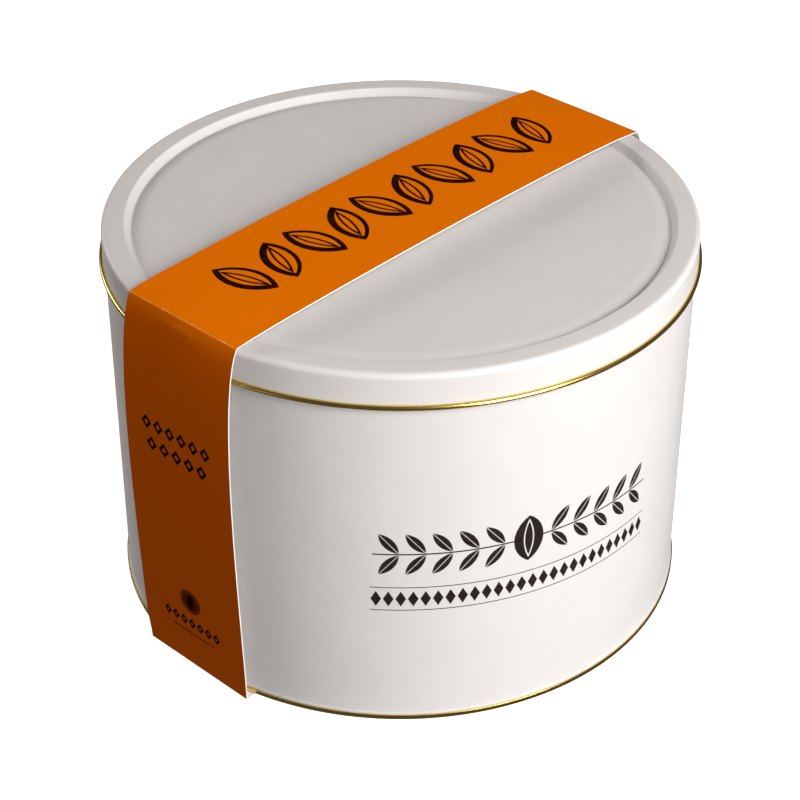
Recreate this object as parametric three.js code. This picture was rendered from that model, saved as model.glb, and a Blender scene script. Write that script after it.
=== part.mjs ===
// A shut biscuit tin with a card sleeve looped round it.
//
// The tin is round, of enamelled tinplate, with a slip lid whose lower edge is
// rolled into a hem, and a base end that is seamed onto the body. The sleeve is
// one strip of card: over the lid, down both sides and under the base, where its
// two ends are glued. Millimetres, +Z up. The origin is on the surface that the
// tin stands on, under its centre, and the sleeve runs along X.

import * as THREE from 'three';

// ---- driving dimensions ----

const TURN_STEPS = 96; // facets round the tin

const SHEET = 0.28; // enamelled tinplate
const CARD = 0.4; // board of the sleeve
const FIT = 0.28; // clearance between pieces that touch
const FOOT = CARD + FIT; // the tin stands on the sleeve's bottom panel

const LID = {
  radius: 100, // outside of the skirt
  ringHeight: 137.1, // flat outer ring, above the tin's foot
  shoulder: 2.2, // bend from the ring into the skirt
  lipRadius: 92.7, // where the ring turns down into the groove
  lipBend: 0.8,
  grooveRadius: 90.0, // lowest circle of the groove
  grooveBend: 0.6,
  wallAngle: Math.PI / 3.6, // steep outer wall of the groove
  panelRadius: 84.6, // the flat middle panel starts here
  panelBend: 12.5,
  panelDrop: 1.49, // panel below the ring
  hemBend: 0.88, // rolled hem, a bead of this radius
  hemOut: 0.4, // the bead's centre outside the skirt
  hemHeight: 125.45, // and above the tin's foot
};

// The lid slips over a straight body. The tin is shut, so it is solid inside: the
// lid is solid down to the middle of its hem, and the body ends there.
const BODY = { radius: LID.radius - SHEET - FIT, top: LID.hemHeight - FIT };

const BASE = {
  radius: 100.3, // outside of the seam
  seamHeight: 1.5,
  seamWidth: 2.45, // from the outside to the inner wall of the recess
  footBend: 0.5, // rounding under the seam
  topBend: 0.15, // rounding on top of the seam
  recess: 3.0, // end panel above the foot
  cornerBend: 0.7, // from the recess wall into the end panel
  wall: 0.5, // of the recess, inside the seam
  top: 12, // the end is solid up to here, inside the body's foot
  bead: { radius: 84, halfWidth: 2.2, depth: 0.8 }, // stiffening ring in the end panel
};

const SLEEVE = {
  width: 48.9,
  stations: 7, // outlines across the width
  foldHeight: 138.45, // top folds above the tin's foot: the card stands clear of the lid
  foldHalf: 97.0, // half the top panel
  shift: -0.6, // the sleeve isn't quite centred on the tin
  arch: { leftPull: 17.5, leftRise: 2.85, rightPull: 26.3, rightRise: 5.2 }, // buckled-up top panel
  archSteps: 16,
  baseHalf: 101, // half the bottom panel
  belly: { topOut: 11.5, topDrop: 16.3, bottomRise: 24 }, // pull of the bowed side panels
  bellySteps: 44,
  bellyCrowding: 2.0,
  crease: 1.2, // outside of a fold
  creaseSteps: 3,
  foldMargin: 2.2, // points this far inside a top fold still belong to the side panel
  hemSlack: 4, // the card leaves the hem this far under it
  flats: 0.3, // allowance for the flats between the outline's points at the lid
  lift: { by: 0.62, across: 60, reach: 15 }, // the lid pushes the left top fold's middle out and up
  lap: { from: -14, to: 12, ramp: 9, tip: 3 }, // glued ends, the inner one on top
};

// The two bends of the lid that the sleeve has to clear, as rings round Z: the
// radius and height of the bend's centre, and the bend itself.
const SHOULDER_RING = {
  radius: LID.radius - LID.shoulder,
  height: LID.ringHeight - LID.shoulder + FOOT,
  bend: LID.shoulder,
};
const HEM_RING = {
  radius: LID.radius + LID.hemOut,
  height: LID.hemHeight + FOOT,
  bend: LID.hemBend,
};

// ---- small helpers ----

const point = (across, height) => new THREE.Vector2(across, height);

// Points of an arc about a centre, both ends included. Angles are measured from +X.
function arc(centreX, centreY, radius, fromAngle, toAngle, steps) {
  return new THREE.EllipseCurve(
    centreX, centreY, radius, radius, fromAngle, toAngle, toAngle < fromAngle,
  ).getPoints(steps);
}

// A piece turned about Z from a profile of (radius, height) points that runs
// from the axis at the bottom, round the outside, to the axis at the top.
function turned(profile) {
  const geometry = new THREE.LatheGeometry(profile, TURN_STEPS);
  geometry.rotateX(Math.PI / 2);
  return geometry;
}

function material(colour, roughness, metalness) {
  return new THREE.MeshStandardMaterial({ color: colour, roughness, metalness });
}

function piece(name, geometry, finish) {
  const mesh = new THREE.Mesh(geometry, finish);
  mesh.name = name;
  return mesh;
}

// ---- lid ----

function lidProfile() {
  const ring = LID.ringHeight;

  // Where the hem's bead comes back against the skirt, as an angle about its centre.
  const meet = Math.acos((LID.radius - HEM_RING.radius) / LID.hemBend);

  // Groove: a steep wall between the lip's bend and the bend at the bottom, then
  // a long soft bend up to the flat panel.
  const wall = LID.wallAngle;
  const softAngle = Math.asin(
    (LID.grooveRadius - LID.panelRadius) / (LID.panelBend + LID.grooveBend),
  );
  const panel = ring - LID.panelDrop;
  const grooveFloor = panel - (LID.panelBend + LID.grooveBend) * (1 - Math.cos(softAngle));

  return [
    point(0, LID.hemHeight),
    ...arc(HEM_RING.radius, LID.hemHeight, LID.hemBend, Math.PI, 2 * Math.PI + meet, 9),
    ...arc(LID.radius - LID.shoulder, ring - LID.shoulder, LID.shoulder, 0, Math.PI / 2, 4),
    ...arc(LID.lipRadius, ring - LID.lipBend, LID.lipBend, Math.PI / 2, Math.PI / 2 + wall, 3),
    ...arc(LID.grooveRadius, grooveFloor + LID.grooveBend, LID.grooveBend,
      -Math.PI / 2 + wall, -Math.PI / 2 - softAngle, 4),
    ...arc(LID.panelRadius, panel - LID.panelBend, LID.panelBend,
      Math.PI / 2 - softAngle, Math.PI / 2, 4).slice(1),
    point(0, panel),
  ];
}

// ---- body ----

function bodyProfile() {
  const plugRadius = BASE.radius - BASE.seamWidth + BASE.wall + FIT;
  const wallFoot = BASE.seamHeight + FIT;
  const floor = BASE.top + FIT;
  return [
    point(0, floor),
    point(plugRadius, floor),
    point(plugRadius, wallFoot),
    point(BODY.radius, wallFoot),
    point(BODY.radius, BODY.top),
    point(0, BODY.top),
  ];
}

// ---- base end ----

function baseProfile() {
  const { radius, seamHeight, seamWidth, footBend, topBend, recess, cornerBend, bead } = BASE;
  const recessWall = radius - seamWidth;
  const beadCurve = [-1, -0.5, 0, 0.5, 1].map((t) =>
    point(bead.radius + t * bead.halfWidth, recess - bead.depth * Math.cos((t * Math.PI) / 2) ** 2),
  );
  return [
    point(0, recess),
    ...beadCurve,
    ...arc(recessWall - cornerBend, recess - cornerBend, cornerBend, Math.PI / 2, 0, 2),
    ...arc(recessWall + footBend, footBend, footBend, Math.PI, 1.5 * Math.PI, 3),
    ...arc(radius - footBend, footBend, footBend, -Math.PI / 2, 0, 3),
    ...arc(radius - topBend, seamHeight - topBend, topBend, 0, Math.PI / 2, 2),
    point(recessWall + BASE.wall, seamHeight),
    point(recessWall + BASE.wall, BASE.top),
    point(0, BASE.top),
  ];
}

// ---- sleeve ----

// One side panel, from the top fold down to the bottom fold, on the side of sign.
function sideCurve(sign) {
  const { foldHalf, foldHeight, shift, baseHalf, belly } = SLEEVE;
  return new THREE.CubicBezierCurve(
    point(sign * foldHalf + shift, foldHeight + FOOT),
    point(sign * (foldHalf + belly.topOut), foldHeight - belly.topDrop + FOOT),
    point(sign * baseHalf, belly.bottomRise + FOOT),
    point(sign * baseHalf, 0),
  );
}

// The top panel, from the right fold to the left one.
function archCurve() {
  const { foldHalf, foldHeight, shift, arch } = SLEEVE;
  const z = foldHeight + FOOT;
  return new THREE.CubicBezierCurve(
    point(foldHalf + shift, z),
    point(foldHalf + shift - arch.rightPull, z + arch.rightRise),
    point(-foldHalf + shift + arch.leftPull, z + arch.leftRise),
    point(-foldHalf + shift, z),
  );
}

// Points of a curve that stop a crease's length short of both ends. With crowding
// above 1 they stand closer together near the curve's start.
function withoutEnds(curve, steps, crowding = 1) {
  const cut = SLEEVE.crease / curve.getLength();
  const first = curve.getUtoTmapping(cut);
  const last = curve.getUtoTmapping(1 - cut);
  return Array.from({ length: steps + 1 }, (_, i) =>
    curve.getPoint(THREE.MathUtils.lerp(first, last, (i / steps) ** crowding)),
  );
}

// The sleeve's outside as a closed outline without its lap, anticlockwise. It
// starts with the two ends of the bottom panel.
function plainOutline() {
  const { baseHalf, crease, creaseSteps, archSteps, bellySteps, bellyCrowding } = SLEEVE;
  const stretches = [
    [point(-baseHalf + crease, 0), point(baseHalf - crease, 0)],
    withoutEnds(sideCurve(1), bellySteps, bellyCrowding).reverse(),
    withoutEnds(archCurve(), archSteps),
    withoutEnds(sideCurve(-1), bellySteps, bellyCrowding),
  ];
  const corners = [point(baseHalf, 0), sideCurve(1).v0, sideCurve(-1).v0, point(-baseHalf, 0)];
  return stretches.flatMap((stretch, i) => {
    const next = stretches[(i + 1) % stretches.length];
    const fold = new THREE.QuadraticBezierCurve(stretch.at(-1), corners[i], next[0]);
    return [...stretch, ...fold.getPoints(creaseSteps).slice(1, -1)];
  });
}

// A point of the outline moved with the left top fold, which the lid lifts most in
// the middle of the sleeve.
function lifted(p, y) {
  const { by, across, reach } = SLEEVE.lift;
  const away = p.distanceTo(sideCurve(-1).v0);
  const lift = by * Math.cos((y * Math.PI) / across) ** 2 * Math.exp(-((away / reach) ** 2));
  return point(p.x - lift, p.y + lift);
}

// A point of a side panel at a place across the sleeve, held clear of the lid. The
// card bends round the shoulder and lies straight from there to the hem.
function onSidePanel(p, y) {
  const { hemSlack, flats } = SLEEVE;
  const clear = FIT + CARD + flats;
  const here = point(Math.abs(p.x), p.y);
  for (const { radius, height, bend } of [SHOULDER_RING, HEM_RING]) {
    const centre = point(Math.sqrt(radius ** 2 - y ** 2), height);
    const away = here.clone().sub(centre);
    if (away.length() < bend + clear) here.copy(away.setLength(bend + clear).add(centre));
  }
  if (here.y > HEM_RING.height - hemSlack && here.y < SHOULDER_RING.height) {
    const { clamp, mapLinear } = THREE.MathUtils;
    const reach = mapLinear(clamp(here.y, HEM_RING.height, SHOULDER_RING.height),
      HEM_RING.height, SHOULDER_RING.height,
      HEM_RING.radius + HEM_RING.bend + clear, LID.radius + clear);
    here.x = Math.max(here.x, Math.sqrt(reach ** 2 - y ** 2));
  }
  return point(Math.sign(p.x) * here.x, here.y);
}

// Every point of an anticlockwise closed outline moved inwards by one card.
function insideOf(outline) {
  return outline.map((here, i) => {
    const before = outline[(i + outline.length - 1) % outline.length];
    const after = outline[(i + 1) % outline.length];
    const along = after.clone().sub(before).normalize();
    return point(here.x - along.y * CARD, here.y + along.x * CARD);
  });
}

// The sleeve's outer and inner outlines at a place across its width. At the lap
// the inner end climbs over the outer one and lies on it.
function sleeveSection(y) {
  const { foldHalf, foldMargin, lap } = SLEEVE;
  const outside = plainOutline().map((p) => lifted(p, y)).map((p) =>
    Math.abs(p.x) > foldHalf - foldMargin ? onSidePanel(p, y) : p,
  );
  const [outerStart, ...outerRest] = outside;
  const [innerStart, ...innerRest] = insideOf(outside);
  return {
    outer: [
      outerStart,
      point(lap.to, 0),
      point(lap.to, CARD),
      point(lap.to + lap.tip, CARD),
      point(lap.to + lap.ramp, 0),
      ...outerRest,
    ],
    inner: [
      innerStart,
      point(lap.from, CARD),
      point(lap.from, 2 * CARD),
      point(lap.to + lap.tip, 2 * CARD),
      point(lap.to + lap.ramp, CARD),
      ...innerRest,
    ],
  };
}

// The sections joined across the width, and closed at the two long edges.
function sleeveGeometry() {
  const stations = Array.from({ length: SLEEVE.stations }, (_, k) =>
    SLEEVE.width * (k / (SLEEVE.stations - 1) - 0.5),
  );
  const sections = stations.map(sleeveSection);
  const positions = sections.flatMap(({ outer, inner }, k) =>
    [...outer, ...inner].flatMap((p) => [p.x, stations[k], p.y]),
  );

  const { outer, inner } = sections[0];
  const size = outer.length + inner.length;
  const lastSection = size * (stations.length - 1);
  const faces = [];
  for (const [a, b, c] of THREE.ShapeUtils.triangulateShape(outer, [inner])) {
    faces.push(a, b, c, lastSection + c, lastSection + b, lastSection + a);
  }
  for (let start = 0; start < lastSection; start += size) {
    for (let i = 0; i < size; i += 1) {
      const first = i < outer.length ? 0 : outer.length;
      const count = i < outer.length ? outer.length : inner.length;
      const a = start + i;
      const b = start + first + ((i - first + 1) % count);
      if (first === 0) faces.push(a, b + size, b, a, a + size, b + size);
      else faces.push(a, b, b + size, a, b + size, a + size);
    }
  }

  const geometry = new THREE.BufferGeometry();
  geometry.setAttribute('position', new THREE.Float32BufferAttribute(positions, 3));
  geometry.setIndex(faces);
  geometry.computeVertexNormals();
  return geometry;
}

// ---- the tin, put together ----

const enamel = material(0xe9e7e3, 0.42, 0);
const goldLacquer = material(0xb8953f, 0.3, 1);
const printedCard = material(0xd86e06, 0.55, 0);

const tin = new THREE.Group();
tin.position.z = FOOT;
tin.add(piece('tin_body', turned(bodyProfile()), enamel));
tin.add(piece('base_end', turned(baseProfile()), goldLacquer));
tin.add(piece('lid', turned(lidProfile()), enamel.clone()));

const biscuitTin = new THREE.Group();
biscuitTin.add(tin);
biscuitTin.add(piece('sleeve', sleeveGeometry(), printedCard));

export default biscuitTin;
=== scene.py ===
# A shut biscuit tin: enamelled tinplate with gold rolled edges, looped lengthways
# in a printed card sleeve. +Z is up and the sleeve lies along X. The scene is in
# metres, and sections and outlines are given in millimetres.
import math

import bmesh
import bpy
import numpy as np
from mathutils import Matrix


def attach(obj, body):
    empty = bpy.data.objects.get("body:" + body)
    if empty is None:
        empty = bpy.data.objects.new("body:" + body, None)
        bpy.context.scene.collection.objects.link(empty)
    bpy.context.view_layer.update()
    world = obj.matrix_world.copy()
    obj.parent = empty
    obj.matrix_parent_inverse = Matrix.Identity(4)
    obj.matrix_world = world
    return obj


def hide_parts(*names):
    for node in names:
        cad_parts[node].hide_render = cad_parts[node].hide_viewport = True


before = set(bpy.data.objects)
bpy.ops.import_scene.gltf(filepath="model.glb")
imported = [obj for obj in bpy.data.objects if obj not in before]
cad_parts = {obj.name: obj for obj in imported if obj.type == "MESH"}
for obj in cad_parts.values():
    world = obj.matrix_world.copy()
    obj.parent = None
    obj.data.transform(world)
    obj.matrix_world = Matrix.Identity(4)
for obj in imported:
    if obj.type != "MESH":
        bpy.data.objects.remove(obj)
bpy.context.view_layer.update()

mm = 0.001


# ---- base end ----
# The round of gold lacquered tinplate that closes the tin from below. It is
# pressed with a shallow recess and one stiffening bead, and its rim is rolled
# together with the foot of the body into a narrow seam.

def math_operator(operation, reflected=False):
    """An operator of a Wire, which adds one Math node. Reflected, the wire stands
    on the right of it."""
    def operator(wire, other=0.0):
        first, second = (other, wire) if reflected else (wire, other)
        return wire.bench.add("ShaderNodeMath", {"operation": operation}, {0: first, 1: second})
    return operator


class Wire:
    """The output of a node, written into sums like a number."""

    def __init__(self, bench, socket):
        self.bench, self.socket = bench, socket

    __add__ = math_operator("ADD")
    __radd__ = math_operator("ADD", reflected=True)
    __sub__ = math_operator("SUBTRACT")
    __rsub__ = math_operator("SUBTRACT", reflected=True)
    __mul__ = math_operator("MULTIPLY")
    __rmul__ = math_operator("MULTIPLY", reflected=True)
    __truediv__ = math_operator("DIVIDE")
    __rtruediv__ = math_operator("DIVIDE", reflected=True)
    __pow__ = math_operator("POWER")
    __mod__ = math_operator("FLOORED_MODULO")
    __gt__ = math_operator("GREATER_THAN")
    __lt__ = math_operator("LESS_THAN")
    __or__ = math_operator("MAXIMUM")
    __abs__ = math_operator("ABSOLUTE")

    def held(self):
        """The value kept between 0 and 1."""
        return self.bench.add("ShaderNodeClamp", {}, {"Value": self})

    def output(self, name):
        """Another output of the same node."""
        return Wire(self.bench, self.socket.node.outputs[name])


class Bench:
    """A node tree that nodes are laid out and wired on."""

    def __init__(self, tree):
        self.tree = tree

    def add(self, kind, settings, sockets, out=0):
        """A node with its settings and its sockets' values or wires."""
        node = self.tree.nodes.new(kind)
        for name, value in settings.items():
            setattr(node, name, value)
        for name, value in sockets.items():
            if isinstance(value, Wire):
                self.tree.links.new(value.socket, node.inputs[name])
            else:
                node.inputs[name].default_value = value
        return Wire(self, node.outputs[out]) if len(node.outputs) else None

    def noise(self, at, scale, detail=2.0, roughness=0.5):
        """Cloudy noise from 0 to 1 about 0.5; scale in lumps to the metre."""
        return self.add("ShaderNodeTexNoise", {}, {
            "Vector": at, "Scale": scale, "Detail": detail, "Roughness": roughness})

    def tint(self, share, under, over):
        """One colour over another by a share from 0 to 1."""
        return self.add("ShaderNodeMix", {"data_type": "RGBA"}, {0: share, 6: under, 7: over}, 2)


def finish_bench(name):
    """A new material and the bench to make it on, with Object coordinates."""
    material = bpy.data.materials.new(name)
    material.use_nodes = True
    material.node_tree.nodes.clear()
    bench = Bench(material.node_tree)
    return material, bench, bench.add("ShaderNodeTexCoord", {}, {}, 3)


def coat(bench, sockets, height=None, depth=0.0):
    """Ends a material: its surface, roughened by a height in the given depth."""
    if height is not None:
        sockets["Normal"] = bench.add("ShaderNodeBump", {}, {
            "Height": height, "Strength": 1.0, "Distance": depth})
    surface = bench.add("ShaderNodeBsdfPrincipled", {}, sockets)
    bench.add("ShaderNodeOutputMaterial", {}, {"Surface": surface})


def turning_tree():
    """Geometry Nodes: a half section in the XZ plane, turned round Z."""
    tree = bpy.data.node_groups.new("turned on the spindle", "GeometryNodeTree")
    for name, kind in (("Half section", "NodeSocketGeometry"), ("Facets", "NodeSocketInt"),
                       ("Spindle", "NodeSocketFloat"), ("Finish", "NodeSocketMaterial")):
        tree.interface.new_socket(name, in_out="INPUT", socket_type=kind)
    tree.interface.new_socket("Turned", in_out="OUTPUT", socket_type="NodeSocketGeometry")
    bench = Bench(tree)
    half = bench.add("NodeGroupInput", {}, {})
    spindle = half.output("Spindle")
    laid_flat = bench.add("GeometryNodeTransform", {}, {
        "Geometry": half, "Rotation": (math.pi / 2, 0, 0),
        "Translation": bench.add("ShaderNodeCombineXYZ", {}, {"X": 0.0 - spindle})})
    section = bench.add("GeometryNodeMeshToCurve", {}, {"Mesh": laid_flat})
    circle = bench.add("GeometryNodeCurvePrimitiveCircle", {}, {
        "Resolution": half.output("Facets"), "Radius": spindle})
    upright = bench.add("GeometryNodeSetCurveNormal", {"mode": "Z_UP"}, {"Curve": circle})
    swept = bench.add("GeometryNodeCurveToMesh", {}, {
        "Curve": upright, "Profile Curve": section})
    welded = bench.add("GeometryNodeMergeByDistance", {}, {"Geometry": swept, "Distance": 1e-6})
    smooth = bench.add("GeometryNodeSetShadeSmooth", {}, {"Geometry": welded})
    real = bench.add("GeometryNodeRealizeInstances", {}, {"Geometry": smooth})
    done = bench.add("GeometryNodeSetMaterial", {}, {
        "Geometry": real, "Material": half.output("Finish")})
    bench.add("NodeGroupOutput", {}, {0: done})
    return tree


turning = turning_tree()


def bend(across, height, radius, from_deg, to_deg, steps=8):
    """Points of a bend's arc, angles from outwards and counted upwards."""
    turn = np.radians(np.linspace(from_deg, to_deg, steps + 1))
    return [(across + radius * math.cos(t), height + radius * math.sin(t)) for t in turn]


def turned(name, section, finish, facets=288, closed=False):
    """A piece turned from (radius, height) points in mm. An open section runs
    from the axis on top, round the outside, to the axis below."""
    mesh = bpy.data.meshes.new(name)
    count = len(section)
    joins = [(i, (i + 1) % count) for i in range(count if closed else count - 1)]
    mesh.from_pydata([(r * mm, 0, z * mm) for r, z in section], joins, [])
    piece = bpy.data.objects.new(name, mesh)
    bpy.context.scene.collection.objects.link(piece)
    spin = piece.modifiers.new("turning", "NODES")
    spin.node_group = turning
    values = {"Facets": facets, "Spindle": 10 * mm, "Finish": finish}
    for item in turning.interface.items_tree:
        if item.name in values:
            spin[item.identifier] = values[item.name]
    made = piece.evaluated_get(bpy.context.evaluated_depsgraph_get())
    plain = bpy.data.meshes.new_from_object(made)
    piece.modifiers.clear()
    piece.data = plain
    return piece


def gold_lacquer():
    """Gold lacquer over bright tinplate, drawn out along the roll, and worn back
    to the tin in a few specks."""
    material, bench, at = finish_bench("gold lacquer")
    place = bench.add("ShaderNodeSeparateXYZ", {}, {0: at})
    x, y, z = (place.output(axis) for axis in "XYZ")
    round_z = bench.add("ShaderNodeMath", {"operation": "ARCTAN2"}, {0: y, 1: x})
    radius = (x * x + y * y) ** 0.5
    along_roll = bench.add("ShaderNodeCombineXYZ", {}, {
        0: round_z * 9.0, 1: radius * 2600.0, 2: z * 2600.0})
    drawn = bench.noise(along_roll, 1.0, 3.0)
    cloud = bench.noise(at, 160.0, 3.0)
    speck = ((bench.noise(at, 900.0, 1.0) - 0.74) * 14.0).held()
    colour = bench.tint(cloud, (0.64, 0.44, 0.08, 1), (0.74, 0.54, 0.13, 1))
    coat(bench, {
        "Base Color": bench.tint(speck, colour, (0.72, 0.70, 0.66, 1)),
        "Metallic": 1.0,
        "Roughness": 0.16 + drawn * 0.06 + cloud * 0.05,
        "Coat Weight": 0.5,
        "Coat Roughness": 0.12,
    }, drawn, 0.004 * mm)
    return material


lacquer = gold_lacquer()

FOOT = 0.5  # the tin's foot over the table: the card and a little air
seam_radius, seam_height, seam_width = 100.3, 1.75, 2.45
seam_top_bend, seam_foot_bend, seam_inner_bend = 0.12, 0.35, 0.5
recess, recess_bend, recess_wall = 3.0, 0.7, seam_radius - seam_width
bead_radius, bead_half, bead_depth = 84.0, 2.2, 0.8
plug_radius, plug_top = recess_wall + 0.5, 12.0  # its part inside the body's foot

bead = [(bead_radius - bead_half * t,
         FOOT + recess - bead_depth * math.cos(t * math.pi / 2) ** 2)
        for t in np.linspace(-1, 1, 13)]
base_end = turned("gold_base", [
    (0, FOOT + plug_top), (plug_radius, FOOT + plug_top), (plug_radius, FOOT + seam_height),
    *bend(seam_radius - seam_top_bend, FOOT + seam_height - seam_top_bend, seam_top_bend, 90, 0, 6),
    *bend(seam_radius - seam_foot_bend, FOOT + seam_foot_bend, seam_foot_bend, 0, -90),
    *bend(recess_wall + seam_inner_bend, FOOT + seam_inner_bend, seam_inner_bend, -90, -180),
    *bend(recess_wall - recess_bend, FOOT + recess - recess_bend, recess_bend, 0, 90),
    *bead,
    (0, FOOT + recess),
], lacquer)
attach(base_end, "root")
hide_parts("base_end")


# ---- body ----
# A straight can of tinplate, stoved with white satin enamel and printed in dark
# brown with a spray of almond leaves over a row of lozenges. Its edges are
# welded in an upright side seam at the back, and its foot flares onto the base.

play = 0.03  # between pieces that touch
body_radius, body_top, body_bevel = 99.5, 125.55, 0.3
flare_radius, flare_height = body_radius + 0.4, 0.5


def enamel_surface(bench, at):
    """Colour, roughness and height of the white satin enamel: the fine roller
    texture, slow waves of the thin sheet, dust nibs and faint rubbing."""
    peel = bench.noise(at, 1500.0, 2.0, 0.6)
    waves = bench.noise(at, 26.0, 1.0)
    rub = bench.noise(at, 75.0, 4.0, 0.62)
    nib = bench.add("ShaderNodeTexVoronoi", {}, {"Vector": at, "Scale": 210.0})
    nibs = (1.0 - nib * 26.0).held()
    colour = bench.tint(rub, (0.685, 0.667, 0.648, 1), (0.735, 0.718, 0.70, 1))
    colour = bench.tint(nibs * 0.25, colour, (0.55, 0.52, 0.48, 1))
    return colour, 0.36 + rub * 0.10, peel * 0.012 + waves * 0.35 + nibs * 0.06


def almond(x, y, half_length, half_width):
    """Distance of a point outside a pointed oval that lies along y."""
    radius = (half_length ** 2 + half_width ** 2) / (2 * half_width)
    aside = abs(x) + (radius - half_width)
    return (aside * aside + y * y) ** 0.5 - radius


def swung(x, y, degrees):
    """A point's place once the sheet is swung round by some degrees."""
    c, s = math.cos(math.radians(degrees)), math.sin(math.radians(degrees))
    return x * c - y * s, x * s + y * c


def inked(distance, softness=0.10 * mm):
    """Ink inside an outline, with a printed edge's slight softness."""
    return (0.5 - distance / softness).held()


def lozenge_row(along, height, count, pitch, half_height, opening=0.0):
    """Ink of a row of lozenges, centred on its place and each open in the middle
    by a share of its size."""
    half_row = 0.5 * count * pitch
    step = (along + half_row) % pitch - 0.5 * pitch
    reach = abs(step) * (half_height / (0.43 * pitch)) + abs(height)
    lozenge = inked(reach - half_height)
    if opening:
        lozenge = lozenge * (1.0 - inked(reach - half_height * opening))
    return lozenge * (abs(along) < half_row)


def leaf_spray(along, height, half_length):
    """Ink of leaves in pairs on a stem, which point away from one almond."""
    from_middle = abs(along)
    leaf_pitch, first_leaf, leaf_angle = 8.6 * mm, 8.2 * mm, 50
    rib_half, stem_half, kernel_half = 0.14 * mm, 0.26 * mm, 5.2 * mm
    past_leaf = (from_middle - first_leaf) % leaf_pitch
    leaf_x, leaf_y = swung(abs(height) - 0.2 * mm, past_leaf, leaf_angle)
    leaf = inked(almond(leaf_x, leaf_y - 5.2 * mm, 5.1 * mm, 1.9 * mm))
    rib = inked(abs(leaf_x) - rib_half)
    leaves = leaf * (1.0 - rib * 0.8) * (from_middle > first_leaf)
    stem = inked(abs(height) - stem_half) * (from_middle > 5.0 * mm)
    kernel = inked(almond(along, height, 9.0 * mm, kernel_half))
    ridge = inked(abs(almond(along, height, 7.2 * mm, 1.6 * mm)) - 0.22 * mm)
    return ((leaves | stem) * (from_middle < half_length)) | (kernel * (1.0 - ridge))


def body_finish():
    """Satin enamel with the brown print and the seam at the back."""
    material, bench, at = finish_bench("printed enamel")
    place = bench.add("ShaderNodeSeparateXYZ", {}, {0: at})
    x, y, z = (place.output(axis) for axis in "XYZ")
    round_z = bench.add("ShaderNodeMath", {"operation": "ARCTAN2"}, {0: y, 1: x})

    print_middle, weld_side = math.radians(-112.4), math.radians(67.6)
    spray_level, spray_half, row_level, row_half = 69.1, 51.2 * mm, 51.1, 52.0 * mm
    along = (round_z - print_middle) * (body_radius * mm)
    spray = leaf_spray(along, z - (FOOT + spray_level) * mm, spray_half)
    row_height = z - (FOOT + row_level) * mm
    hairlines = inked(abs(abs(row_height) - 4.6 * mm) - 0.16 * mm) * (abs(along) < row_half)
    row = lozenge_row(along, row_height, 26, 4.0 * mm, 3.1 * mm) | hairlines
    ink = (spray | row) * (0.93 + bench.noise(at, 2400.0, 1.0) * 0.12).held()

    # The weld is a low narrow ridge between two fine grooves.
    from_weld = abs((round_z - weld_side) * (body_radius * mm))
    groove = inked(abs(from_weld - 2.3 * mm) - 0.15 * mm, 0.3 * mm)
    weld = (1.0 - from_weld / (1.6 * mm)).held() * 0.10 - groove * 0.08

    colour, roughness, height = enamel_surface(bench, at)
    coat(bench, {
        "Base Color": bench.tint(ink, colour, (0.010, 0.004, 0.003, 1)),
        "Roughness": roughness,
        "Specular IOR Level": 0.3,
    }, height + ink * 0.012 + weld, 1 * mm)
    return material


body_foot = FOOT + seam_height + play
hollow_radius, hollow_top = plug_radius + 0.3, FOOT + plug_top + 0.3
body = turned("printed_body", [
    (0, FOOT + body_top), (body_radius - body_bevel, FOOT + body_top),
    (body_radius, FOOT + body_top - body_bevel),
    *[(body_radius, FOOT + z) for z in np.linspace(body_top - 2, seam_height + 1.2, 15)],
    (body_radius + 0.2 * (flare_radius - body_radius), FOOT + seam_height + flare_height),
    (flare_radius, body_foot), (hollow_radius, body_foot), (hollow_radius, hollow_top), (0, hollow_top),
], body_finish(), facets=360)
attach(body, "root")
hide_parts("tin_body")


# ---- lid ----
# A slip lid pressed from the same white tinplate. Inside a flat outer ring a
# groove goes down steeply and comes up softly to the flat panel.

def plain_enamel():
    """The white satin enamel without print."""
    material, bench, at = finish_bench("white enamel")
    colour, roughness, height = enamel_surface(bench, at)
    coat(bench, {"Base Color": colour, "Roughness": roughness, "Specular IOR Level": 0.3},
         height, 1 * mm)
    return material


lid_radius, ring_height, shoulder, sheet = 100.0, 137.28, 2.0, 0.28
lip_radius, lip_bend, groove_radius, groove_bend = 92.7, 0.9, 90.0, 0.6
panel_radius, panel_bend, panel_drop = 84.6, 12.5, 1.49
hem_height, hem_bend, hem_radius = 125.63, 0.88, lid_radius + 0.4
skirt_bevel = 0.4

# The groove's slopes in degrees: steep on its outer wall, soft up to the panel.
steep = 48
soft = math.degrees(math.asin((groove_radius - panel_radius) / (panel_bend + groove_bend)))
panel = FOOT + ring_height - panel_drop
groove_floor = panel - (panel_bend + groove_bend) * (1 - math.cos(math.radians(soft)))
ring = FOOT + ring_height
lid = turned("white_lid", [
    *[(r, panel) for r in np.linspace(0, panel_radius - 2, 24)],
    *bend(panel_radius, panel - panel_bend, panel_bend, 90, 90 - soft, 16),
    *bend(groove_radius, groove_floor + groove_bend, groove_bend, -90 - soft, steep - 90, 12),
    *bend(lip_radius, ring - lip_bend, lip_bend, 90 + steep, 90, 12),
    *bend(lid_radius - shoulder, ring - shoulder, shoulder, 90, 0, 14),
    *[(lid_radius, FOOT + z) for z in np.linspace(ring_height - shoulder - 1, hem_height + 1.6, 6)],
    (lid_radius, FOOT + hem_height + skirt_bevel),
    (lid_radius - sheet, FOOT + hem_height), (0, FOOT + hem_height),
], plain_enamel(), facets=360)
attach(lid, "root")
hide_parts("lid")


# ---- hem ----
# The raw lower edge of the lid is rolled outwards into a bead, gold lacquered
# like the base end.

hem = turned("rolled_hem", bend(hem_radius, FOOT + hem_height, hem_bend, 180, -160, 17),
             lacquer, facets=360, closed=True)
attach(hem, "root")
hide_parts("lid")


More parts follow.
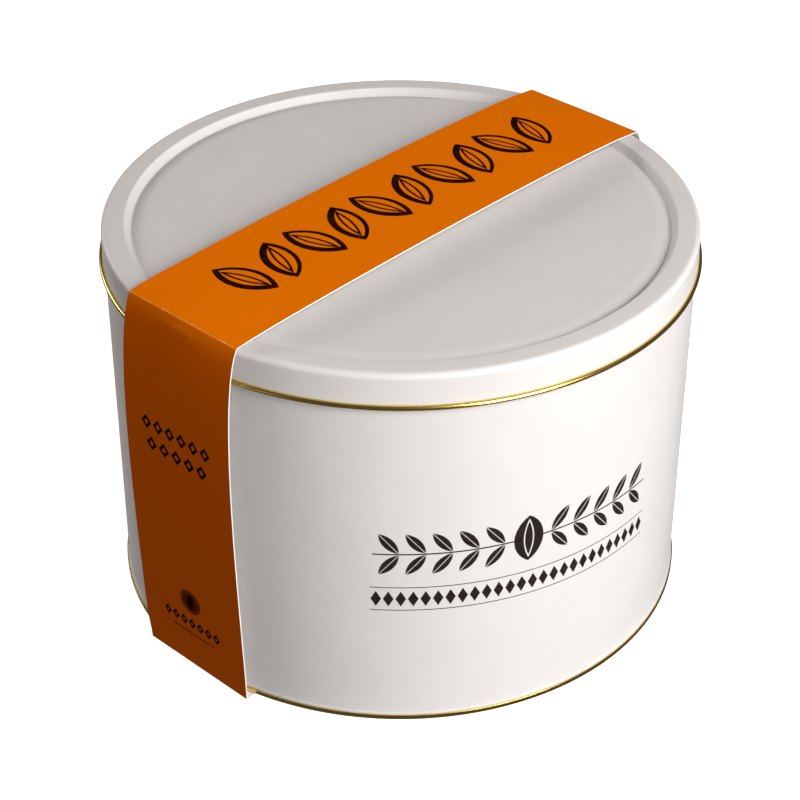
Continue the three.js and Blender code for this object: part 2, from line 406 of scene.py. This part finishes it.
# ---- sleeve ----
# One strip of board, printed orange outside and white inside and at its cut
# edges. It goes over the lid, which it bridges in a low arch, bows out down both
# sides, and its ends are glued on one another under the base.

card, width, crease = 0.4, 48.9, 0.65
left_fold, right_fold = (-98.0, FOOT + 138.73), (96.7, FOOT + 139.18)
left_pull, right_pull = (17.9, 2.75), (26.6, 4.4)  # handles of the arch: in and up
belly_half, belly_height, belly_foot = 108.5, 122.33, 24.2  # handles of the sides' bow
base_half, top_middle = 101.0, (-0.6, 142.0)
side_from = 94.5  # further out than this is a side panel
lap_from, lap_to, ramp_from, ramp_to, plain_from, glue = -14.0, 12.0, 15.0, 21.0, 24.0, 0.02

# The lid pushes the middle of the sleeve out: the right panel below its fold, and
# the left fold itself, which it also lifts.
bulge_span, right_crown, crown_reach = 60.0, 1.75, 4.5
left_lift, lift_on_top, lift_on_side = 0.62, 25.0, 12.0
rub_depth, rub_reach = 1.3, 7.0  # the left foot's corner towards +Y is rubbed back


def bow(p0, p1, p2, p3, count=400):
    """A panel's free curve, as a sheet takes it between two folds."""
    t = np.linspace(0, 1, count)[:, None]
    ends = (1 - t) ** 3 * np.array(p0) + t ** 3 * np.array(p3)
    return ends + 3 * (1 - t) ** 2 * t * np.array(p1) + 3 * (1 - t) * t ** 2 * np.array(p2)


def spaced(curve, count, crowding=1.0):
    """A curve between its creases, in points that crowd towards its start."""
    length = np.r_[0, np.cumsum(np.hypot(*np.diff(curve, axis=0).T))]
    place = crease + (length[-1] - 2 * crease) * np.linspace(0, 1, count) ** crowding
    return np.column_stack([np.interp(place, length, curve[:, k]) for k in (0, 1)])


def side_panel(fold, sign):
    """Free curve of a side panel from its top fold to the bottom fold."""
    return bow(fold, (sign * belly_half, FOOT + belly_height),
               (sign * base_half, FOOT + belly_foot), (sign * base_half, 0))


def strip_outline():
    """The card's outer face from the end glued inside to the end glued outside,
    as (x, z), and each point's place on the flat strip, from the middle of the
    top towards +X."""
    raised = card + glue
    climb = np.linspace(0, 1, 9)[:, None]
    ramp = np.column_stack([ramp_to + (ramp_from - ramp_to) * climb,
                            raised * climb ** 2 * (3 - 2 * climb)])
    inner_end = [(x, raised) for x in np.linspace(lap_from, lap_to + 2, 8)]
    plain = [(x, 0) for x in np.linspace(plain_from, base_half - crease, 14)]
    top = spaced(bow(right_fold, (right_fold[0] - right_pull[0], right_fold[1] + right_pull[1]),
                     (left_fold[0] + left_pull[0], left_fold[1] + left_pull[1]), left_fold), 97)
    stretches = [
        np.array([*inner_end, *ramp[::-1], *plain]),
        spaced(side_panel(right_fold, 1), 90, 1.5)[::-1],
        top,
        spaced(side_panel(left_fold, -1), 90, 1.5),
        np.array([(x, 0) for x in np.linspace(-base_half + crease, lap_to, 24)]),
    ]
    corners = [(base_half, 0), right_fold, left_fold, (-base_half, 0)]
    points = list(stretches[0])
    for corner, after in zip(corners, stretches[1:]):
        before = points[-1]
        for t in np.linspace(0, 1, 8)[1:-1]:
            on_fold = (1 - t) ** 2 * before + 2 * t * (1 - t) * np.array(corner) + t ** 2 * after[0]
            points.append(on_fold)
        points.extend(after)
    points = np.array(points)
    middle = np.argmin(np.hypot(*(points - top_middle).T))
    length = np.r_[0, np.cumsum(np.hypot(*np.diff(points, axis=0).T))]
    return points, length[middle] - length


outline, along_strip = strip_outline()
top_half = -along_strip[np.argmin(np.hypot(*(outline - left_fold).T))]
left_foot = along_strip[np.argmin(np.hypot(outline[:, 0] + base_half, outline[:, 1]))]


def down_left_side(height):
    """Place on the flat strip, in metres, of a height on the left panel."""
    panel_points = (outline[:, 0] < -side_from) & (outline[:, 1] > card)
    return np.interp(-height, -outline[panel_points, 1], along_strip[panel_points]) * mm


def softly_over(value, least, blend):
    """The larger of two, with a rounded change from one to the other."""
    return (value + least + np.sqrt((value - least) ** 2 + blend ** 2)) / 2


def clear_of_lid(x, z, y):
    """A side panel's points, x counted outwards, bent round the lid at y. The card
    goes round the shoulder and the hem and lies straight between them."""
    skin, shoulder_level, hem_level = card + play, FOOT + ring_height - shoulder, FOOT + hem_height
    for radius, height, edge in ((lid_radius - shoulder, shoulder_level, shoulder),
                                 (hem_radius, hem_level, hem_bend)):
        centre = math.sqrt(radius ** 2 - y ** 2)
        gap = np.hypot(x - centre, z - height)
        stretch = softly_over(gap, edge + skin, 0.15) / gap
        x, z = centre + (x - centre) * stretch, height + (z - height) * stretch
    free_level = hem_level - 12  # from here down the card hangs free
    reach = np.interp(z, [free_level, hem_level, shoulder_level],
                      [hem_radius - 1.0, hem_radius + hem_bend + skin, lid_radius + skin])
    skirt = (z < shoulder_level) & (z > free_level)
    return np.where(skirt, softly_over(x, np.sqrt(reach ** 2 - y ** 2), 0.2), x), z


def sleeve_mesh(finishes):
    """The card in rows of points across its width, each row with its two faces. The
    first finish is the outer face's, the second that of the inside and the edges."""
    rows = np.linspace(-width / 2, width / 2, 29)
    mesh = bmesh.new()
    flat = mesh.loops.layers.uv.new("flat")
    sides, on_right = np.abs(outline[:, 0]) > side_from, outline[:, 0] > 0
    from_fold = np.abs(along_strip) - top_half
    past_fold = np.clip(from_fold, 0, None) / crown_reach
    crown = on_right * right_crown * past_fold * np.exp(1 - past_fold)
    lift_reach = np.where(from_fold > 0, lift_on_side, lift_on_top)
    lift = ~on_right * left_lift * np.exp(-(from_fold / lift_reach) ** 2)
    faces_of = []
    for y in rows:
        x, z = outline.T.copy()
        bulge = math.cos(y * math.pi / bulge_span) ** 2
        x, z = x + np.sign(x) * (crown + lift) * bulge, z + lift * bulge
        moved_x, moved_z = clear_of_lid(np.abs(x), z, y)
        x = np.where(sides, np.sign(x) * moved_x, x)
        z = np.where(sides, moved_z, z)
        run = np.gradient(np.column_stack([x, z]), axis=0)
        run /= np.linalg.norm(run, axis=1)[:, None]
        inside = np.column_stack([x - run[:, 1] * card, z + run[:, 0] * card])
        rubbed = rub_depth * max(2 * y / width, 0) ** 4 * np.exp(
            -((along_strip - left_foot) / rub_reach) ** 2)
        faces_of.append([[mesh.verts.new((px * mm, (y - dy) * mm, pz * mm))
                          for (px, pz), dy in zip(face, rubbed)]
                         for face in (np.column_stack([x, z]), inside)])

    def quad(corners, finish):
        face = mesh.faces.new([vert for vert, _, _ in corners])
        face.material_index, face.smooth = finish, True
        for loop, (_, i, j) in zip(face.loops, corners):
            loop[flat].uv = (along_strip[i] * mm, rows[j] * mm)

    count, last = len(outline), len(rows) - 1
    for j in range(last):
        for i in range(count - 1):
            for side in (0, 1):
                patch = [(faces_of[b][side][a], a, b) for a, b in
                         ((i, j), (i, j + 1), (i + 1, j + 1), (i + 1, j))]
                quad(patch if side == 0 else patch[::-1], side)
    for i in range(count - 1):
        for j in (0, last):
            edge = [(faces_of[j][s][a], a, j) for s, a in ((0, i), (0, i + 1), (1, i + 1), (1, i))]
            quad(edge if j == 0 else edge[::-1], 1)
    for j in range(last):
        for i in (0, count - 1):
            edge = [(faces_of[b][s][i], i, b) for s, b in ((0, j), (1, j), (1, j + 1), (0, j + 1))]
            quad(edge if i == 0 else edge[::-1], 1)
    mesh.normal_update()
    for edge in mesh.edges:
        edge.smooth = edge.calc_face_angle(0) < math.radians(50)
    made = bpy.data.meshes.new("sleeve")
    mesh.to_mesh(made)
    mesh.free()
    for finish in finishes:
        made.materials.append(finish)
    return made


def printed_card():
    """Orange print under a thin water varnish, with brown almonds, cracked to the
    white board along the folds and nicked at the cut edges."""
    material, bench, at = finish_bench("printed card")
    place = bench.add("ShaderNodeSeparateXYZ", {}, {
        0: bench.add("ShaderNodeUVMap", {"uv_map": "flat"}, {})})
    along, across = place.output("X"), place.output("Y")
    fibre = bench.noise(at, 2600.0, 3.0, 0.6)
    mottle = bench.noise(at, 420.0, 3.0, 0.6)
    cloud = bench.noise(at, 30.0, 2.0)

    # Over the lid: a row of open almonds that lean to and fro.
    nut_pitch, nut_count, nut_lean = 15.4 * mm, 10, 17
    half_row = 0.5 * nut_count * nut_pitch
    from_row, shifted = across - 1.4 * mm, along + half_row
    lean = ((shifted / nut_pitch) % 2.0 > 1.0) * 2.0 - 1.0
    lean_x, lean_y = swung(shifted % nut_pitch - 0.5 * nut_pitch, from_row * lean, nut_lean)
    shell = inked(almond(lean_x, lean_y, 12.2 * mm, 5.7 * mm))
    hollow = inked(almond(lean_x - 0.45 * mm, lean_y + 0.3 * mm, 9.6 * mm, 3.7 * mm))
    ridges = inked(abs(almond(lean_x, lean_y, 8.2 * mm, 1.3 * mm)) - 0.42 * mm)
    nuts = (shell * (1.0 - hollow) | ridges) * (abs(along) < half_row)

    # Down the left side: two rows of lozenges, then a roundel over a row and a rule.
    def on_side(height, count, pitch, half_height, opening=0.0):
        return lozenge_row(across - 0.6 * mm, along - down_left_side(height),
                           count, pitch * mm, half_height * mm, opening)

    disc_level, disc_radius, ring_radius = 28.9, 4.9 * mm, 4.2 * mm
    disc_x, disc_y = across - 0.4 * mm, along - down_left_side(disc_level)
    from_disc = (disc_x * disc_x + disc_y * disc_y) ** 0.5
    seed = inked(almond(disc_x, disc_y, 3.3 * mm, 1.8 * mm))
    disc_ring = inked(abs(from_disc - ring_radius) - 0.16 * mm)
    roundel = inked(from_disc - disc_radius) * (0.86 - disc_ring * 0.5) | seed
    side = on_side(97.0, 6, 5.5, 2.75, 0.42) | on_side(89.2, 5, 5.9, 2.75, 0.42)
    side = side | roundel | on_side(19.2, 7, 4.0, 2.3, 0.35) | on_side(14.5, 17, 1.2, 0.55)
    ink = (nuts | side) * (0.94 + mottle * 0.1).held()

    # The print is worn thin along the two top folds, cracks there in a few specks,
    # and is nicked at the long edges.
    fold_half, nick_depth = 0.30 * mm, 0.25 * mm
    fold_line = (1.2 - abs(abs(along) - top_half * mm) / fold_half).held()
    worn = (fold_line * (0.25 + bench.noise(at, 500.0, 3.0, 0.6) * 0.9)).held() * 0.75
    cracked = ((fold_line * 0.40 + bench.noise(at, 1100.0, 2.0, 0.7) - 0.97) * 14.0).held()
    edge_line = 1.0 - (0.5 * width * mm - abs(across)) / nick_depth
    nicked = ((edge_line.held() * 0.34 + bench.noise(at, 800.0, 2.0, 0.7) - 0.93) * 12.0).held()
    bare = cracked | nicked

    # Painted shade: from just before each top fold and all down the sides, the orange is tinted darker
    # and redder, as it looks in the shade there.
    painted_side_shade = ((abs(along) - (top_half - 1.0) * mm) / (8.0 * mm)).held()
    orange = bench.tint(mottle, (0.755, 0.158, 0.0, 1), (0.82, 0.182, 0.0, 1))
    orange = bench.tint(cloud * 0.25, orange, (0.745, 0.147, 0.0, 1))
    orange = bench.tint(painted_side_shade, orange, (0.73, 0.125, 0.0, 1))
    orange = bench.tint(worn, orange, (0.97, 0.37, 0.04, 1))
    printed = bench.tint(ink, orange, (0.011, 0.002, 0.001, 1))
    coat(bench, {
        "Base Color": bench.tint(bare, printed, (0.90, 0.76, 0.56, 1)),
        "Roughness": 0.46 + mottle * 0.10 + bare * 0.3,
        "Specular IOR Level": 0.015,
        "Specular Tint": (1.0, 0.3, 0.02, 1),
    }, fibre * 0.010 + mottle * 0.012 + cloud * 0.2 - cracked * 0.03, 1 * mm)
    return material


def board():
    """The white inside and cut edges of the board, in short fibres."""
    material, bench, at = finish_bench("white board")
    fibre = bench.noise(at, 1900.0, 4.0, 0.7)
    colour = bench.tint(fibre, (0.76, 0.75, 0.73, 1), (0.86, 0.85, 0.84, 1))
    coat(bench, {"Base Color": colour, "Roughness": 0.75 + fibre * 0.2}, fibre, 0.03 * mm)
    return material


sleeve = bpy.data.objects.new("card_sleeve", sleeve_mesh([printed_card(), board()]))
bpy.context.scene.collection.objects.link(sleeve)
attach(sleeve, "root")
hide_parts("sleeve")


# ---- table and light ----
# A plain white table that glows, so that no shadow is left on it, but lights
# nothing. Two soft lights stand in front on the right, one low and one high, and
# a weak one low on the left. Low behind on the left a warmer one lights without
# being mirrored, and a smaller one beside it is only mirrored, as the gold's glint.

def table_finish():
    """Evenly white and lit up by itself."""
    material, bench, _ = finish_bench("white table")
    coat(bench, {"Base Color": (0.6, 0.6, 0.6, 1), "Roughness": 0.8,
                 "Emission Color": (1, 1, 1, 1), "Emission Strength": 1.0})
    return material


table = bpy.data.meshes.new("table")
table.from_pydata([(-4, -4, 0), (4, -4, 0), (4, 4, 0), (-4, 4, 0)], [], [(0, 1, 2, 3)])
table.materials.append(table_finish())
table_top = bpy.data.objects.new("table", table)
table_top.visible_diffuse = table_top.visible_glossy = False
bpy.context.scene.collection.objects.link(table_top)


def soft_light(name, azimuth, elevation, distance, size, power, colour):
    """A square soft light that looks at the tin from a direction in degrees."""
    lamp = bpy.data.lights.new(name, "AREA")
    lamp.shape, lamp.size = "SQUARE", size
    lamp.energy, lamp.color = power, colour
    light = bpy.data.objects.new(name, lamp)
    light.matrix_world = (
        Matrix.Translation((0, 0, 0.07))
        @ Matrix.Rotation(math.radians(azimuth) + math.pi / 2, 4, "Z")
        @ Matrix.Rotation(math.radians(90 - elevation), 4, "X")
        @ Matrix.Translation((0, 0, distance)))
    bpy.context.scene.collection.objects.link(light)
    return light


white, warm, pale = (1, 1, 1), (1, 0.93, 0.88), (1, 0.98, 0.965)
soft_light("low window", -96.8, 4, 2.5, 1.2, 45, white)
soft_light("high window", -92.8, 36, 1.2, 0.7, 15.0, pale)
far_window = soft_light("far window", 88.2, 11, 2.0, 1.0, 34, warm)
far_glint = soft_light("far glint", 98.2, 16, 2.0, 0.7, 8.0, white)
far_window.visible_glossy = far_glint.visible_diffuse = False
soft_light("side window", 168.2, 10, 2.0, 1.0, 1.5, pale)

room = bpy.data.worlds.new("room")
room.use_nodes = True
room.node_tree.nodes["Background"].inputs["Color"].default_value = (1, 0.89, 0.93, 1)
room.node_tree.nodes["Background"].inputs["Strength"].default_value = 0.10
bpy.context.scene.world = room
bpy.context.scene.view_settings.view_transform = "Standard"

camera_place, focal_length, film = (-0.46280, -0.43439, 0.49370), 97.415, 36
heading, dip, roll = math.radians(-46.808), 0.59868, 0.0032

lens = bpy.data.cameras.new("camera")
lens.lens, lens.sensor_width = focal_length, film
camera = bpy.data.objects.new("camera", lens)
camera.matrix_world = (
    Matrix.Translation(camera_place)
    @ Matrix.Rotation(heading, 4, "Z")
    @ Matrix.Rotation(math.pi / 2 - dip, 4, "X")
    @ Matrix.Rotation(roll, 4, "Z"))
bpy.context.scene.collection.objects.link(camera)
bpy.context.scene.camera = camera
